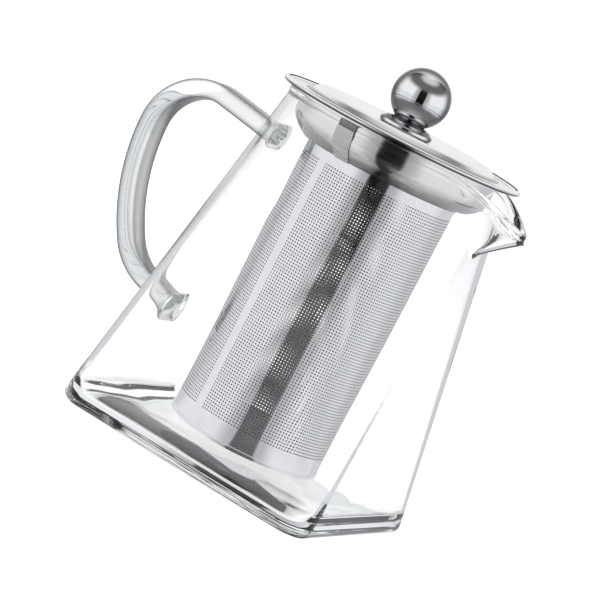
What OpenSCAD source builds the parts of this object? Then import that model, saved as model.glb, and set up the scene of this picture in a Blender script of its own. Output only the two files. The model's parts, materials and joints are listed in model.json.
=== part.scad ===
// Glass teapot: square foot running up into a round mouth, pinched pouring lip,
// solid loop handle, lift-out perforated infuser and a pressed lid with a ball knob.
// Millimetres, +Z up, origin at the centre of the foot on the table,
// +X towards the pouring lip, -X towards the handle.

/* [Glass body] */
// outside width of the square foot
base_w = 96; // [84:0.5:112]
// outside corner radius of the foot
corner_r = 9; // [7:0.5:14]
// height of the glass to the top of its rim
body_h = 121.2; // [104:0.1:140]
// outside diameter of the mouth below the bead
mouth_d = 78.5; // [78:0.5:86]
// thickness of the glass wall
wall_t = 2; // [1.6:0.1:2.4]
// thickness of the glass floor
floor_t = 2.5; // [2.5:0.5:7]
// how far the fire-polished rim bead stands out
bead_out = 0.25; // [0.2:0.05:0.8]

/* [Pouring lip] */
// reach of the lip beyond the mouth
lip_reach = 13.6; // [8:0.2:17]
// fall of the lip's rim for each mm of reach
lip_fall = 0.6; // [0.4:0.05:0.75]
// depth of the lip's keel below the rim
lip_depth = 22; // [18:0.5:28]

/* [Handle] */
// height of the upper weld as a share of the body height
handle_hi = 0.85; // [0.8:0.01:0.88]
// height of the lower weld as a share of the body height
handle_lo = 0.245; // [0.2:0.01:0.3]
// length of the straight run out of the upper weld
handle_run = 20; // [14:0.5:28]
// radius of the upper bend
handle_bend = 18.5; // [14:0.5:22]
// thickness of the glass bar in the plane of the loop
bar_t = 6.4; // [5:0.2:8]
// width of the glass bar across the loop
bar_w = 14; // [11:0.5:17]

/* [Infuser] */
// outside diameter of the perforated tube
tube_d = 53; // [48:0.5:56]
// gap between the infuser and the glass floor
tube_gap = 7.1; // [3:0.1:12]
// thickness of the tube's sheet
tube_t = 0.4; // [0.3:0.05:0.6]
// outside diameter of the neck inside the mouth
neck_d = 69; // [66:0.5:72]
// height of the neck's straight part
neck_h = 5.4; // [4:0.1:9]
// height of the neck's rounded part
neck_taper = 7; // [6:0.1:11]
// outside diameter of the neck at its lower edge
neck_low = 56.6; // [54:0.2:62]
// thickness of the neck's sheet
sheet_t = 0.6; // [0.5:0.05:0.8]
// thickness of the spring band's sheet
band_t = 0.35; // [0.3:0.05:0.5]
// widest part of the gap in the spring band
band_slit = 1.2; // [0.8:0.1:2]
// width of the tongue beside the gap
tongue_w = 6.6; // [5:0.2:9]

/* [Lid] */
// diameter of the lid over its rolled edge
lid_d = 85; // [84:0.5:92]
// thickness of the rolled edge
lid_roll = 1.8; // [1.6:0.1:2.6]
// thickness of the lid's sheet
lid_t = 0.8; // [0.5:0.05:1]
// height of the raised ring above the flat of the lid
lid_rise = 2.6; // [1.8:0.1:4]
// depth of the dished centre below the raised ring
lid_dish = 1.5; // [0.8:0.1:1.7]
// height of the locating ring below the lid
ring_h = 6; // [4:0.5:8]

/* [Knob] */
// diameter of the ball
ball_d = 19.7; // [16:0.1:26]
// diameter of the knob's flared foot
foot_d = 18.5; // [15:0.5:24]
// height of the knob's flared foot
foot_h = 3.75; // [3:0.05:6]
// diameter of the knob's screw
screw_d = 4; // [3:0.5:5]

/* [Fits] */
// gap between the neck and the spring band
band_gap = 0.05; // [0.05:0.05:0.2]
// radial gap between the locating ring and the neck's bore
ring_gap = 1.5; // [0.8:0.1:2]
// radial gap between the rolled edge and the neck's flange
roll_gap = 0.8; // [0.5:0.1:1.5]

/* [Hidden] */
$fn = 96;

glass = [0.80, 0.90, 0.88, 0.35];
steel = [0.74, 0.74, 0.73];
brushed = [0.64, 0.64, 0.63];
polished = [0.85, 0.85, 0.86];

half = base_w / 2;
mouth_r = mouth_d / 2;
edge_z = 3.5;                       // height of the foot's rounded edge
top_z = body_h - 3.2;               // where the straight wall meets the bead
lean = (half - mouth_r) / (top_z - edge_z);   // fall of the wall's radius per mm

// ---- the glass body's surface, written as a radius for a direction and a height ----
// share of the way from the foot's rounded square to the mouth's circle
function up(z) = (z - edge_z) / (top_z - edge_z);
function flat_half(z) = (1 - up(z)) * (half - corner_r);
function round_r(z) = (1 - up(z)) * corner_r + up(z) * mouth_r;
// radius of a rounded square with half flat k and corner radius r along direction a
function square_r(a, k, r) =
    let (c = abs(cos(a)), s = abs(sin(a)), hi = max(c, s), lo = min(c, s))
    ((k + r) * lo / hi <= k) ? (k + r) / hi : k * (c + s) + sqrt(r * r - k * k * (c - s) * (c - s));
function shell_r(a, z, inset) =
    let (zz = min(z, top_z), k = max(flat_half(zz), 0.001))
    square_r(a, k, round_r(zz) - inset);
// the foot below its rounded edge
function foot_r(a, z) =
    let (e = edge_z - z, in = edge_z * 1.05 - sqrt(max(0, pow(edge_z * 1.05, 2) - e * e * 1.1)))
    square_r(a, half - corner_r, corner_r - in);

// ---- the lip: two straight sides running from the mouth's circle to a point ----
lip_a = acos(mouth_r / (mouth_r + lip_reach));
// angle away from the lip's middle, eased so that the point and the keel are a little round
function off_axis(a) = let (b = (a > 180) ? 360 - a : a) sqrt(b * b + 9) - 3;
function lip_r(a) = (off_axis(a) < lip_a) ? mouth_r / cos(lip_a - off_axis(a)) : mouth_r;
function soft_lip(a) =
    let (b = off_axis(a)) (b < lip_a) ? lip_r(a) - mouth_r : 0;
function rim_z(a) = body_h - lip_fall * soft_lip(a);
function keel_z(a) = body_h - 3 - (lip_depth - 3) * max(0, 1 - off_axis(a) / lip_a);
function lip_share(a, z) =
    let (z0 = keel_z(a), z1 = rim_z(a) - 3.2) pow(min(1, max(0, (z - z0) / max(0.5, z1 - z0))), 1.12);
function lip_add(a, z) = soft_lip(a) * lip_share(a, z);
function lean_wall(a, z) = wall_t * (1 + 0.32 * min(1, soft_lip(a) / 6) * ((z > keel_z(a)) ? 1 : 0));

octant = [0, 2.2, 5, 9.5, 15, 22, 30, 36, 39.5, 42.2];
angles = [for (q = [0 : 3]) for (a = concat(octant, [45], [for (i = [9 : -1 : 1]) 90 - octant[i]])) q * 90 + a];
cols = len(angles);

// rows: [kind, number]; kinds 0 foot, 1 wall share below the rim, 2 bead, 3 inner wall, 4 floor
low = 88;                           // below this height the wall carries no lip
function wall_z(a, t) = low + (rim_z(a) - 3.2 - low) * t;
upper = [0, 0.24, 0.4, 0.56, 0.7, 0.84, 1];
outer_rows = concat(
    [for (z = [0, 0.9, 2.1, edge_z]) [0, z]],
    [for (z = [32, 62]) [1, z]],
    [for (t = upper) [2, t]]);
// the bead is an ellipse a little wider than the wall
bead_w = wall_t / 2 + bead_out;
bead_rows = [for (a = [-38, -8, 28, 62, 90, 118, 152, 188, 218]) [bead_w * cos(a) - wall_t / 2, bead_w * (sin(a) - 1)]];
function outer_pt(a, row) =
    (row[0] == 0) ? let (r = foot_r(a, row[1])) [r * cos(a), r * sin(a), row[1]]
    : (row[0] == 1) ? let (r = shell_r(a, row[1], 0)) [r * cos(a), r * sin(a), row[1]]
    : let (z = wall_z(a, row[1]), r = shell_r(a, z, 0) + lip_add(a, z)) [r * cos(a), r * sin(a), z];
function bead_pt(a, b) =
    let (z = rim_z(a) + b[1], r = mouth_r + soft_lip(a) + b[0] - ((b[0] < -1) ? 0.3 * min(1, soft_lip(a) / 6) : 0))
    [r * cos(a), r * sin(a), z];
function inner_pt(a, row) =
    (row[0] == 1) ? let (r = shell_r(a, row[1], wall_t)) [r * cos(a), r * sin(a), row[1]]
    : let (z = wall_z(a, row[1]), r = shell_r(a, z, 0) + lip_add(a, z) - lean_wall(a, z)) [r * cos(a), r * sin(a), z];
function floor_pt(a, f) =
    let (r = square_r(a, half - corner_r - 1, max(1.2, corner_r - wall_t + 1 - f[0]))) [r * cos(a), r * sin(a), floor_t + f[1]];
inner_rows = concat([for (i = [len(upper) - 1 : -1 : 0]) [2, upper[i]]], [for (z = [62, 32]) [1, z]]);
floor_rows = [[0.35, 6], [0.9, 3], [2.1, 1], [4.8, 0]];

body_pts = concat(
    [[0, 0, 0]],
    [for (row = outer_rows) for (a = angles) outer_pt(a, row)],
    [for (b = bead_rows) for (a = angles) bead_pt(a, b)],
    [for (row = inner_rows) for (a = angles) inner_pt(a, row)],
    [for (f = floor_rows) for (a = angles) floor_pt(a, f)],
    [[0, 0, floor_t]]);
rings = len(outer_rows) + len(bead_rows) + len(inner_rows) + len(floor_rows);
body_faces = concat(
    [for (j = [0 : cols - 1]) [0, 1 + j, 1 + (j + 1) % cols]],
    [for (i = [0 : rings - 2]) for (j = [0 : cols - 1]) for (h = [0, 1])
        let (p = 1 + i * cols + j, q = 1 + i * cols + (j + 1) % cols, s = p + cols, t = q + cols)
        (h == 0) ? [p, s, q] : [q, s, t]],
    [for (j = [0 : cols - 1]) [1 + rings * cols, 1 + (rings - 1) * cols + (j + 1) % cols, 1 + (rings - 1) * cols + j]]);

module glass_body() color(glass) polyhedron(points = body_pts, faces = body_faces, convexity = 6);

// ---- handle: straight run, three bends that follow each other, straight run ----
face_top = -(half - lean * (body_h * handle_hi - edge_z));
face_low = -(half - lean * (body_h * handle_lo - edge_z));
h0 = 172; h1 = 270; h2 = 304; h3 = 344;
bend3 = 22;
// centre of the bar where it meets the wall, the two ends of each bend and the bends' centres
embed = 0.2;                        // the bar's ends are fused this far into the wall
function left(h) = [cos(h + 90), sin(h + 90)];
p0 = [face_top, body_h * handle_hi];
p1 = p0 + handle_run * [cos(h0), sin(h0)];
c1 = p1 + handle_bend * left(h0);
p2 = c1 - handle_bend * left(h1);
// the long bend's radius is the one that brings the last run to the lower weld
dx3 = bend3 * (sin(h3) - sin(h2));
dz3 = bend3 * (cos(h2) - cos(h3));
gx = 1 + sin(h2);
gz = cos(h2);
k3 = tan(h3 - 360);
bend2 = (p2[1] + dz3 + k3 * (face_low - p2[0] - dx3) - body_h * handle_lo) / (gz - k3 * gx);
c2 = p2 + bend2 * left(h1);
p3 = c2 - bend2 * left(h2);
c3 = p3 + bend3 * left(h2);
p4 = c3 - bend3 * left(h3);
last_run = (face_low - p4[0]) / cos(h3);
p5 = p4 + last_run * [cos(h3), sin(h3)];

// stations: [centre, heading, extra thickness, 1 where the ring lies on the wall]
function bend_stations(c, r, ha, hb, n, first) =
    [for (i = [first : n]) let (h = ha + (hb - ha) * i / n) [c - r * left(h), h, 0, 0]];
function run_station(p, h, d, extra, on) = [p + d * [cos(h), sin(h)], h, extra, on];
stations = concat(
    [run_station(p0, h0, 0, 2.8, 1), run_station(p0, h0, 1.1, 2, 0), run_station(p0, h0, 2.3, 0.8, 0),
     run_station(p0, h0, 4.5, 0, 0)],
    bend_stations(c1, handle_bend, h0, h1, 16, 0),
    bend_stations(c2, bend2, h1, h2, 9, 1),
    bend_stations(c3, bend3, h2, h3, 8, 1),
    [run_station(p5, h3, -5, 0, 0), run_station(p5, h3, -2.6, 1.2, 0), run_station(p5, h3, -1.3, 3, 0),
     run_station(p5, h3, 0, 4.4, 1)]);
// the bar's section: two half rounds joined by flats
arc = 11;
function section(t, w) = concat(
    [for (i = [0 : arc]) let (a = -90 + 180 * i / arc) [t / 2 * sin(a), (w - t) / 2 + t / 2 * cos(a)]],
    [for (i = [0 : arc]) let (a = 90 + 180 * i / arc) [t / 2 * sin(a), -(w - t) / 2 + t / 2 * cos(a)]]);
sides = 2 * (arc + 1);
// a point slid along heading h onto the wall's plane, then the embed further in
function to_wall(p, h) =
    let (d = -(p[0] + half - lean * (p[1] - edge_z) - embed) / (cos(h) - lean * sin(h))) p + d * [cos(h), sin(h)];
function ring_at(st) = [for (q = section(bar_t + st[2], bar_w + st[2] * 0.6))
    let (p = st[0] + q[0] * left(st[1]), w = (st[3] == 1) ? to_wall(p, st[1]) : p) [w[0], q[1], w[1]]];
end_a = to_wall(p0, h0);
end_b = to_wall(p5, h3);
n_st = len(stations);
bar_pts = concat([[end_a[0], 0, end_a[1]]], [for (st = stations) for (p = ring_at(st)) p], [[end_b[0], 0, end_b[1]]]);
bar_faces = concat(
    [for (j = [0 : sides - 1]) [0, 1 + j, 1 + (j + 1) % sides]],
    [for (i = [0 : n_st - 2]) for (j = [0 : sides - 1]) for (h = [0, 1])
        let (p = 1 + i * sides + j, q = 1 + i * sides + (j + 1) % sides, s = p + sides, t = q + sides)
        (h == 0) ? [p, s, q] : [q, s, t]],
    [for (j = [0 : sides - 1]) [1 + n_st * sides, 1 + (n_st - 1) * sides + (j + 1) % sides, 1 + (n_st - 1) * sides + j]]);
module handle() color(glass) polyhedron(points = bar_pts, faces = bar_faces, convexity = 8);

// ---- infuser ----
tube_r = tube_d / 2;
nr = neck_d / 2;
flange_r = min(mouth_r + 0.15, lid_d / 2 - lid_roll - roll_gap);
z_rim = body_h;
z_str = z_rim - neck_h;
z_low = z_str - neck_taper;
tube_low = floor_t + tube_gap;
tube_top = z_low + 0.4;
low_r = max(neck_low / 2, tube_r + 1.6);
// the neck's outside line from its straight part round to its lower edge, moved out by t
function neck_line(t) = [for (i = [0 : 12])
    let (u = i / 12, dr = -(nr - low_r) * (0.1 + 1.8 * u), n = norm([dr, neck_taper]))
    [nr - (nr - low_r) * (0.1 * u + 0.9 * u * u) + t * neck_taper / n, z_str - neck_taper * u + t * dr / n]];
function backwards(line) = [for (i = [len(line) - 1 : -1 : 0]) line[i]];
module infuser_neck() color(steel)
    rotate_extrude() polygon(concat(
        [[flange_r, z_rim], [nr, z_rim]],
        neck_line(0),
        [[low_r - 0.5, z_low - 0.3], [low_r - 1.2, z_low - 0.4], [tube_r, z_low - 0.4],
         [tube_r, z_low + sheet_t - 0.4], [low_r - 1.2, z_low + sheet_t - 0.4]],
        backwards(neck_line(-sheet_t)),
        [[nr - sheet_t, z_rim + sheet_t - 0.05], [nr - sheet_t + 0.05, z_rim + sheet_t], [flange_r, z_rim + sheet_t]]));

// open band sprung round the neck: a gap at the front and a raised tongue beside it, leaning in at its top
slit_a = -91.1;
tongue_a = tongue_w / nr * 180 / PI;
tongue_top = z_rim - 2.5;
tongue_out = band_gap + band_t + 0.35;
module spring_band() color(brushed)
    difference() {
        union() {
            rotate_extrude() polygon(concat(
                [[nr + band_gap, z_rim], [nr + band_gap + band_t, z_rim]],
                neck_line(band_gap + band_t),
                backwards(neck_line(band_gap))));
            rotate([0, 0, slit_a - tongue_a - 0.2]) rotate_extrude(angle = tongue_a) polygon(concat(
                [[nr + band_gap + 0.1, tongue_top], [nr + tongue_out, tongue_top]],
                neck_line(tongue_out),
                backwards(neck_line(band_gap + 0.1))));
        }
        rotate([0, 0, slit_a - tongue_a - 0.2]) rotate_extrude(angle = tongue_a) polygon([
            [nr + tongue_out + 0.01, tongue_top - 0.01], [nr + tongue_out + 3, tongue_top - 0.01],
            [nr + tongue_out + 3, z_rim + 1], [nr + band_gap + 0.12, z_rim + 1]]);
        // the gap, widest a little below its top
        rotate([0, 0, slit_a + 90]) rotate([90, 0, 0]) linear_extrude(nr + 10)
            polygon([[-0.12, z_low - 3], [0.12, z_low - 3], [0.12, z_str - 0.5], [band_slit / 2, tongue_top],
                     [0.25, z_rim + 1], [-0.25, z_rim + 1], [-band_slit / 2, tongue_top], [-0.12, z_str - 0.5]]);
    }

module mesh_tube() color(brushed)
    difference() {
        translate([0, 0, tube_low + 0.6]) cylinder(h = tube_top - tube_low - 0.6, r = tube_r);
        translate([0, 0, tube_low]) cylinder(h = tube_top - tube_low + 1, r = tube_r - tube_t);
    }

module infuser_bottom() color(steel)
    rotate_extrude() polygon([
        [0, tube_low], [tube_r - 0.8, tube_low], [tube_r - 0.2, tube_low + 0.12], [tube_r + 0.2, tube_low + 0.5],
        [tube_r + 0.4, tube_low + 0.9], [tube_r + 0.4, tube_low + 1.4], [tube_r, tube_low + 1.4],
        [tube_r, tube_low + 0.6], [0, tube_low + 0.6]]);

// ---- lid ----
lid_z = z_rim + sheet_t;            // underside of the lid's flat
lr = lid_d / 2;
flat_z = lid_z + lid_t;
ring_out = nr - sheet_t - ring_gap;
sh0 = nr - 0.1;                     // foot of the raised ring's shoulder
sh1 = sh0 - 4;                      // crest of the raised ring
crest_z = flat_z + lid_rise;
dish_z = crest_z - lid_dish;
knob_flat = 11;
roll_z = lid_z - 0.1 + lid_roll / 2;    // the roll stays clear of the glass rim
function shoulder() = [for (i = [0 : 8]) let (u = i / 8, s = u * u * (3 - 2 * u)) [sh0 + (sh1 - sh0) * u, flat_z + lid_rise * s]];
function dish() = [for (i = [1 : 8]) let (u = i / 8, s = u * u * (3 - 2 * u)) [sh1 + (knob_flat - sh1) * u, crest_z - lid_dish * s]];
function roll() = [for (i = [0 : 18]) let (a = 118 - i * 16)
    [lr - lid_roll / 2 + lid_roll / 2 * cos(a), roll_z + lid_roll / 2 * sin(a)]];
module lid_shell() color(brushed)
    rotate_extrude() difference() {
        polygon(concat(
            [[screw_d / 2 + 0.1, dish_z - lid_t], [screw_d / 2 + 0.1, dish_z]],
            [for (i = [7 : -1 : 0]) dish()[i]],
            [for (i = [8 : -1 : 0]) shoulder()[i]],
            [[lr - lid_roll - 0.3, flat_z + 0.12]],
            roll(),
            [[lr - lid_roll + 0.1, lid_z]],
            [for (i = [0 : 8]) [shoulder()[i][0] - 0.1, shoulder()[i][1] - lid_t]],
            [for (i = [0 : 7]) [dish()[i][0], dish()[i][1] - lid_t]]));
        // the edge is rolled round a small hollow
        translate([lr - lid_roll / 2, roll_z]) circle(r = lid_roll / 2 - 0.6);
    }

module lid_ring() color(steel)
    difference() {
        translate([0, 0, lid_z - ring_h]) cylinder(h = ring_h, r = ring_out);
        translate([0, 0, lid_z - ring_h - 1]) cylinder(h = ring_h + 2, r = ring_out - sheet_t);
    }

// ---- knob ----
ball_z = dish_z + foot_h + sqrt(pow(ball_d / 2, 2) - pow(foot_d * 0.29, 2));
fr = foot_d / 2;
module knob_base() color(polished)
    rotate_extrude() difference() {
        polygon(concat(
            [[0, dish_z], [fr * 0.84, dish_z]],
            [for (i = [0 : 10]) let (a = -75 + i * 15) [fr - 1 + 1 * cos(a), dish_z + 1.15 + 1.1 * sin(a)]],
            [[fr * 0.85, dish_z + foot_h * 0.72], [fr * 0.76, dish_z + foot_h * 0.85], [fr * 0.66, dish_z + foot_h * 0.93],
             [fr * 0.6, dish_z + foot_h * 0.96], [fr * 0.58, dish_z + foot_h], [0, dish_z + foot_h]]));
        square([screw_d / 2 + 0.1, 100 * foot_h]);
    }

module knob_ball() color(polished)
    difference() {
        translate([0, 0, ball_z]) sphere(d = ball_d);
        translate([-ball_d, -ball_d, dish_z + foot_h - ball_d]) cube([2 * ball_d, 2 * ball_d, ball_d]);
        translate([0, 0, dish_z + foot_h - 1]) cylinder(h = ball_d * 0.5 + 1, d = screw_d);
    }

module knob_screw() color(steel)
    difference() {
        union() {
            translate([0, 0, dish_z - lid_t]) cylinder(h = lid_t + foot_h + ball_d * 0.5 - 1, d = screw_d);
            translate([0, 0, dish_z - lid_t - 2.2]) cylinder(h = 2.2, d = screw_d * 2);
        }
        translate([-screw_d, -0.5, dish_z - lid_t - 3]) cube([2 * screw_d, 1, 1.8]);
    }

glass_body();
handle();
infuser_neck();
spring_band();
mesh_tube();
infuser_bottom();
lid_shell();
lid_ring();
knob_base();
knob_ball();
knob_screw();
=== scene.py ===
# %% [markdown]
# # A glass teapot, piece by piece
# The pot is a square glass foot that runs up into a round mouth, with a pinched lip, a bent glass bar for a
# handle, a steel infuser that hangs in the mouth and a pressed steel lid with a ball knob. The solids that
# carry and move are loaded as the frame. This lesson makes the surfaces that are seen, around that frame.
# A piece is drawn in millimetres until its last step, which scales it to metres. The finishes, the room and
# the camera are in metres throughout.

# %% Load the frame
import json
import math

import bmesh
import bpy
from mathutils import Matrix, Vector

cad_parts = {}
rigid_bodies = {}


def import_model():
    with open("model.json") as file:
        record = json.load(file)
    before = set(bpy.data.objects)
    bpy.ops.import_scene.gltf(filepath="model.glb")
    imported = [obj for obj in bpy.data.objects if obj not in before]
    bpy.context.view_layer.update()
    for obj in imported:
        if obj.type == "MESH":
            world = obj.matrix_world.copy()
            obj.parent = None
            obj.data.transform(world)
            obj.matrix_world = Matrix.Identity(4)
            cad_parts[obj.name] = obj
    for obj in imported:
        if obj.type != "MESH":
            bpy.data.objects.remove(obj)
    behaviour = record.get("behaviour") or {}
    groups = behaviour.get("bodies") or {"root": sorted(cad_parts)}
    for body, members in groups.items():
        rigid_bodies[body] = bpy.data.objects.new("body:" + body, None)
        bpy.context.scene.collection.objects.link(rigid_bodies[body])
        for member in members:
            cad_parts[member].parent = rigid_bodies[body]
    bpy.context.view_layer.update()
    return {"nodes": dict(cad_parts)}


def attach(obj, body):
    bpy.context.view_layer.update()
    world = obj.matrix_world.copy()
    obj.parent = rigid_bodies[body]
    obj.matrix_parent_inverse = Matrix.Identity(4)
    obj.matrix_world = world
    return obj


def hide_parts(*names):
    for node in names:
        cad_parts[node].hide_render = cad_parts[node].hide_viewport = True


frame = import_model()
scene = bpy.context.scene
print("nodes:", sorted(frame["nodes"]))


# %% [markdown]
# ## Helpers for every piece
# A bmesh is worked in millimetres because the sizes of a teapot are easy to read that way.

# %% Turn a bmesh into a piece
rad = math.radians
MM = 0.001
SAME_SPOT = 0.0005     # points nearer than this are one point
CREASE = 32.0          # steel shows a line where two faces meet at more than this
ROUND_CREASE = 50.0    # glass and turned parts are rounder, so their lines are rarer


def make_piece(bm, name, body, node, material, crease=CREASE, recalc=True, merge=True,
               sharp_rims=False):
    if merge:
        bmesh.ops.remove_doubles(bm, verts=bm.verts, dist=SAME_SPOT)
    if recalc:
        bmesh.ops.recalc_face_normals(bm, faces=bm.faces)
    bmesh.ops.scale(bm, vec=(MM, MM, MM), verts=bm.verts)
    bm.edges.index_update()
    rims = [e.index for e in bm.edges if e.is_boundary]
    mesh = bpy.data.meshes.new(name)
    bm.to_mesh(mesh)
    bm.free()
    mesh.shade_smooth()
    mesh.set_sharp_from_angle(angle=rad(crease))
    if sharp_rims:
        for number in rims:
            mesh.edges[number].use_edge_sharp = True
    piece = bpy.data.objects.new(name, mesh)
    scene.collection.objects.link(piece)
    piece.data.materials.append(material)
    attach(piece, body)
    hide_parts(node)
    low, high = extent_mm(piece)
    print(f"{name}: {len(mesh.polygons)} faces, z {low.z:.1f} to {high.z:.1f} mm")
    return piece


def extent_mm(piece):
    spots = [v.co / MM for v in piece.data.vertices]
    low = Vector([min(s[i] for s in spots) for i in range(3)])
    high = Vector([max(s[i] for s in spots) for i in range(3)])
    return low, high


# %% [markdown]
# Most of the steel is round about the upright axis, so it is drawn as half a section and spun. A pressed
# edge is never perfectly sharp, and its small slant is what catches a thin line of light on a real rim. A
# bevel over the finished spin would add it everywhere, so it is drawn into the sections instead, only where
# the real piece has it.

# %% Spin a section about the upright axis
TURNS = 160


def draw_section(bm, points, closed=True):
    ring = [bm.verts.new((r, 0.0, z)) for r, z in points]
    edges = [bm.edges.new(pair) for pair in zip(ring, ring[1:])]
    if closed:
        edges.append(bm.edges.new((ring[-1], ring[0])))
    return ring, edges


def spin_section(points, closed=True, steps=TURNS):
    bm = bmesh.new()
    ring, edges = draw_section(bm, points, closed)
    bmesh.ops.spin(bm, geom=ring + edges, cent=(0, 0, 0), axis=(0, 0, 1), dvec=(0, 0, 0),
                   angle=math.tau, steps=steps, use_merge=True, use_duplicate=False)
    bmesh.ops.remove_doubles(bm, verts=bm.verts, dist=SAME_SPOT)
    bmesh.ops.recalc_face_normals(bm, faces=bm.faces)
    return bm


# %% [markdown]
# ## Materials
# Borosilicate glass is a smooth, slightly green solid. Its colour comes from how far light travels in it,
# so it sits in the volume, and only the thick foot and the edges show it. Lamps have to reach the steel
# inside, and a renderer would need very many samples to find them through glass, so for shadow rays alone
# the glass is plainly see-through. In a studio, glass on white is drawn by the dark cards that its edges
# pick up. There are no cards here: a ramp over Layer Weight darkens the glass where it is seen aslant. It is
# a stand-in, and it would look too dark in another room.

# %% Glass
GLASS_BENDS = 1.474                    # index of refraction of borosilicate glass
GLASS_TINT = (0.40, 0.62, 0.52, 1.0)   # colour left after light has come a long way
SHADOW_TINT = (0.93, 0.945, 0.94, 1.0)
# how aslant the glass is seen, from 0 to 1, and how light it is there
BODY_EDGES = [(0.60, 1.0), (1.0, 0.05), (0.84, 0.86), (0.93, 0.5)]
BAR_EDGES = [(0.14, 0.92), (1.0, 0.01), (0.40, 0.30), (0.60, 0.012)]


def new_material(name):
    material = bpy.data.materials.new(name)
    material.use_nodes = True
    nodes = material.node_tree.nodes
    links = material.node_tree.links
    return material, nodes, links, nodes["Principled BSDF"], nodes["Material Output"]


def make_glass(name, density, stops):
    material, nodes, links, shader, output = new_material(name)
    shader.inputs["Transmission Weight"].default_value = 1.0
    shader.inputs["Roughness"].default_value = 0.0
    shader.inputs["IOR"].default_value = GLASS_BENDS
    aside = nodes.new("ShaderNodeLayerWeight")
    aside.inputs["Blend"].default_value = 0.5
    ramp = nodes.new("ShaderNodeValToRGB")
    marks = ramp.color_ramp.elements
    for number, (where, shade) in enumerate(stops):
        mark = marks[number] if number < 2 else marks.new(where)
        mark.position = where
        mark.color = (shade, shade * 1.01, shade * 1.01, 1.0)
    links.new(aside.outputs["Facing"], ramp.inputs["Fac"])
    links.new(ramp.outputs["Color"], shader.inputs["Base Color"])
    clear = nodes.new("ShaderNodeBsdfTransparent")
    clear.inputs["Color"].default_value = SHADOW_TINT
    path = nodes.new("ShaderNodeLightPath")
    mix = nodes.new("ShaderNodeMixShader")
    links.new(path.outputs["Is Shadow Ray"], mix.inputs[0])
    links.new(shader.outputs[0], mix.inputs[1])
    links.new(clear.outputs[0], mix.inputs[2])
    links.new(mix.outputs[0], output.inputs["Surface"])
    tint = nodes.new("ShaderNodeVolumeAbsorption")
    tint.inputs["Color"].default_value = GLASS_TINT
    tint.inputs["Density"].default_value = density
    links.new(tint.outputs[0], output.inputs["Volume"])
    return material


body_glass = make_glass("body_glass", 1.2, BODY_EDGES)
bar_glass = make_glass("bar_glass", 2.0, BAR_EDGES)


# %% [markdown]
# The steel comes in three finishes. Spun and rolled sheet has very fine lines round the axis, and the tone
# and haze of the metal change a little across them. The knob is polished to a mirror. The
# deep-drawn neck is in between. The lines are noise read along a direction that hardly changes on the way
# round, so each grain is drawn out into a hoop.

# %% Brushed and satin steel
def add_node(nodes, kind, **values):
    node = nodes.new(kind)
    for key, value in values.items():
        setattr(node, key, value)
    return node


LINES = 2600.0         # how fine the lines of the finish are
ROUND_SHARE = 0.0012   # how little the noise moves on the way round
GRAIN = (0.3, 0.7)     # the noise seldom leaves this range


def spread(nodes, links, feed, start, end, low=0.0, high=1.0, interpolation="LINEAR"):
    ranged = add_node(nodes, "ShaderNodeMapRange", interpolation_type=interpolation)
    for label, value in zip(("From Min", "From Max", "To Min", "To Max"), (start, end, low, high)):
        ranged.inputs[label].default_value = value
    links.new(feed, ranged.inputs["Value"])
    return ranged.outputs[0]


def scaled(nodes, links, colour, by):
    paint = add_node(nodes, "ShaderNodeVectorMath", operation="SCALE")
    if isinstance(colour, tuple):
        paint.inputs[0].default_value = colour
    else:
        links.new(colour, paint.inputs[0])
    links.new(by, paint.inputs["Scale"])
    return paint.outputs[0]


def make_brushed(name, colour, rough, tone_by=0.03, haze_by=0.03):
    material, nodes, links, shader, output = new_material(name)
    shader.inputs["Metallic"].default_value = 1.0
    place = add_node(nodes, "ShaderNodeTexCoord")
    apart = add_node(nodes, "ShaderNodeSeparateXYZ")
    links.new(place.outputs["Object"], apart.inputs[0])
    flat = add_node(nodes, "ShaderNodeCombineXYZ")
    links.new(apart.outputs[0], flat.inputs[0])
    links.new(apart.outputs[1], flat.inputs[1])
    reach = add_node(nodes, "ShaderNodeVectorMath", operation="LENGTH")
    links.new(flat.outputs[0], reach.inputs[0])
    around = add_node(nodes, "ShaderNodeMath", operation="ARCTAN2")
    links.new(apart.outputs[1], around.inputs[0])
    links.new(apart.outputs[0], around.inputs[1])
    slow = add_node(nodes, "ShaderNodeMath", operation="MULTIPLY")
    links.new(around.outputs[0], slow.inputs[0])
    slow.inputs[1].default_value = ROUND_SHARE
    spot = add_node(nodes, "ShaderNodeCombineXYZ")
    links.new(slow.outputs[0], spot.inputs[0])
    links.new(reach.outputs["Value"], spot.inputs[1])
    links.new(apart.outputs[2], spot.inputs[2])
    grain = add_node(nodes, "ShaderNodeTexNoise")
    grain.inputs["Scale"].default_value = LINES
    grain.inputs["Detail"].default_value = 3.0
    grain.inputs["Roughness"].default_value = 0.6
    links.new(spot.outputs[0], grain.inputs["Vector"])
    tone = spread(nodes, links, grain.outputs["Fac"], *GRAIN, 1.0 - tone_by, 1.0 + tone_by)
    links.new(scaled(nodes, links, colour, tone), shader.inputs["Base Color"])
    haze = spread(nodes, links, grain.outputs["Fac"], *GRAIN, rough - haze_by, rough + haze_by)
    links.new(haze, shader.inputs["Roughness"])
    return material


lid_steel = make_brushed("lid_steel", (0.88, 0.88, 0.885), 0.24)
band_steel = make_brushed("band_steel", (0.85, 0.835, 0.82), 0.11, tone_by=0.05)
neck_steel = make_brushed("neck_steel", (0.86, 0.86, 0.87), 0.14)
tube_steel = make_brushed("tube_steel", (0.90, 0.90, 0.90), 0.07, tone_by=0.01, haze_by=0.02)
# painted shade: a darker copy of the tube's steel for its inside and the walls of its holes
tube_inside_shaded = make_brushed("tube_inside_shaded", (0.26, 0.255, 0.25), 0.30)
ring_steel = make_brushed("ring_steel", (0.80, 0.80, 0.80), 0.25)
# painted shade: a darker copy of the band's steel for the tongue
tongue_shaded_steel = make_brushed("tongue_shaded_steel", (0.50, 0.49, 0.48), 0.18, tone_by=0.05)
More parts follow.
